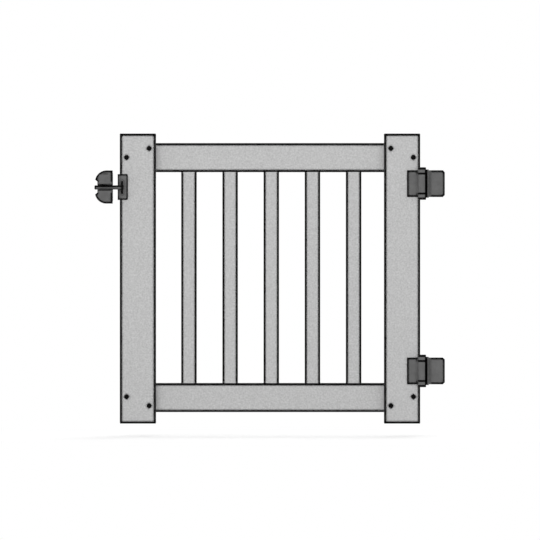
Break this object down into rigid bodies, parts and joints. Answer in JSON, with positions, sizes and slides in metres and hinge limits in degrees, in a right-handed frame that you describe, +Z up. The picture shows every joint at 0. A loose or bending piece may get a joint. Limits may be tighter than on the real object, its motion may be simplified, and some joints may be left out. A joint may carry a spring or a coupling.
{
  "type": "railing gate",
  "caption": "Low grey board gate for a deck railing, with square balusters, self-closing barrel hinges and a drop latch that catches a bar.",
  "frame": {"origin": "middle of the lower hinge's screw holes, on the flange face that lies against the hinge post", "axes": "+X along the gate from latch to hinges, +Y away from the viewer through the gate, +Z up"},
  "size_m": [1.0862, 0.1304, 0.9],
  "materials": {
    "stile_boards": "matte",
    "rail_boards": "matte",
    "baluster_boards": "matte",
    "board_plugs": "matte",
    "black_screws": "satin",
    "dark_screws": "satin",
    "hinge_grey": "satin",
    "hinge_caps": "satin",
    "latch_grey": "satin",
    "striker_grey": "satin",
    "striker_bar": "satin",
    "tongue_metal": "satin",
    "pin_steel": "satin",
    "spring_steel": "satin",
    "bush_polymer": "satin"
  },
  "bodies": {
    "post_hardware": {"latch_base": "latch_grey", "latch_cover_screws": "dark_screws", "latch_lower_cover": "latch_grey", "latch_upper_cover": "latch_grey", "lower_bottom_cap": "hinge_caps", "lower_hinge_pin": "pin_steel", "lower_post_leaf": "hinge_grey", "upper_bottom_cap": "hinge_caps", "upper_hinge_pin": "pin_steel", "upper_post_leaf": "hinge_grey"},
    "gate": {"baluster_1": "baluster_boards", "baluster_2": "baluster_boards", "baluster_3": "baluster_boards", "baluster_4": "baluster_boards", "baluster_5": "baluster_boards", "bottom_baluster_screws": "dark_screws", "bottom_rail": "rail_boards", "bottom_rail_plugs": "board_plugs", "hinge_stile": "stile_boards", "hinge_stile_screws": "black_screws", "latch_stile": "stile_boards", "latch_stile_screws": "black_screws", "lower_bottom_bush": "bush_polymer", "lower_closing_spring": "spring_steel", "lower_gate_leaf": "hinge_grey", "lower_leaf_screws": "dark_screws", "lower_top_bush": "bush_polymer", "striker_bar": "striker_bar", "striker_bracket": "striker_grey", "striker_screws": "dark_screws", "top_baluster_screws": "dark_screws", "top_rail": "rail_boards", "top_rail_plugs": "board_plugs", "upper_bottom_bush": "bush_polymer", "upper_closing_spring": "spring_steel", "upper_gate_leaf": "hinge_grey", "upper_leaf_screws": "dark_screws", "upper_top_bush": "bush_polymer"},
    "tongue": {"latch_tongue": "tongue_metal"},
    "upper_adjuster": {"upper_tension_adjuster": "hinge_caps"},
    "lower_adjuster": {"lower_tension_adjuster": "hinge_caps"}
  },
  "joints": [
    {"name": "gate_swing", "type": "hinge", "parent": "post_hardware", "child": "gate", "pos_m": [-0.0205, -0.0332, 0], "axis": [0, 0, 1], "range_deg": [0, 110], "stiffness_Nm_per_rad": 2.5, "springref_deg": -40.11, "deforming": ["upper_closing_spring", "lower_closing_spring"]},
    {"name": "tongue_drop", "type": "slide", "parent": "post_hardware", "child": "tongue", "axis": [0, 0, 1], "range_m": [-0.014, 0]},
    {"name": "upper_tension_turn", "type": "hinge", "parent": "post_hardware", "child": "upper_adjuster", "pos_m": [-0.0205, -0.0332, 0.581], "axis": [0, 0, 1], "range_deg": [-180, 0]},
    {"name": "lower_tension_turn", "type": "hinge", "parent": "post_hardware", "child": "lower_adjuster", "pos_m": [-0.0205, -0.0332, 0], "axis": [0, 0, 1], "range_deg": [-180, 0]}
  ]
}
